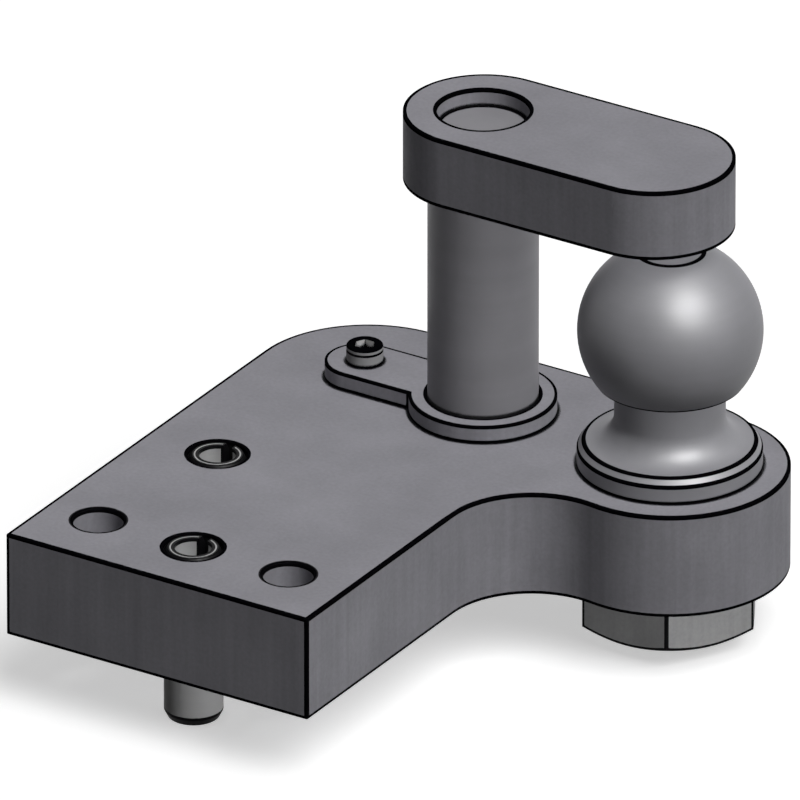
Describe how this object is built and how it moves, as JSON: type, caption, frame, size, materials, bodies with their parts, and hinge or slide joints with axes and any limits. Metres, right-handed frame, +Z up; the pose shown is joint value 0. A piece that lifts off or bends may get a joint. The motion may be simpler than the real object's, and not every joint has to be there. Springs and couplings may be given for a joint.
{
  "type": "bolt-on coupling ball plate with hold-down",
  "caption": "Thick bolt-on steel plate with a coupling ball on a boss and a swinging hold-down arm on a post beside it.",
  "frame": {"origin": "half way between the two fixing bolt holes, on the underside of the plate", "axes": "+Z up out of the plate's top face, +X along the bolt line towards the ball side, +Y from the bolt line towards the post and the ball"},
  "size_m": [0.1605, 0.1625, 0.14],
  "materials": {
    "plate_steel": "dark grey phosphated thick plate, flame-cut edges, black arrises",
    "arm_steel": "dark grey phosphated bar, cut edges, black arrises",
    "post_steel": "dark turned steel",
    "ball_steel": "dark forged steel, turned and finely polished",
    "nut_steel": "dull grey thin nut",
    "keeper_steel": "dark grey phosphated flat plate",
    "screw_steel": "oiled grey cap screw, black on top and in its groove, its socket rubbed bright",
    "spring_steel": "oiled grey spring steel, black at its rims"
  },
  "bodies": {
    "base": {"base_plate": "plate_steel", "front_dowel_sleeve": "spring_steel", "rear_dowel_sleeve": "spring_steel", "coupling_ball_stud": "ball_steel", "ball_nut": "nut_steel", "retaining_plate": "keeper_steel", "retaining_screw": "screw_steel"},
    "hold_down": {"hold_down_post": "post_steel", "hold_down_arm": "arm_steel"}
  },
  "joints": [
    {"name": "hold_down_swing", "type": "hinge", "parent": "base", "child": "hold_down", "pos_m": [0.0225, 0.11, 0], "axis": [0, 0, 1], "continuous": true}
  ]
}
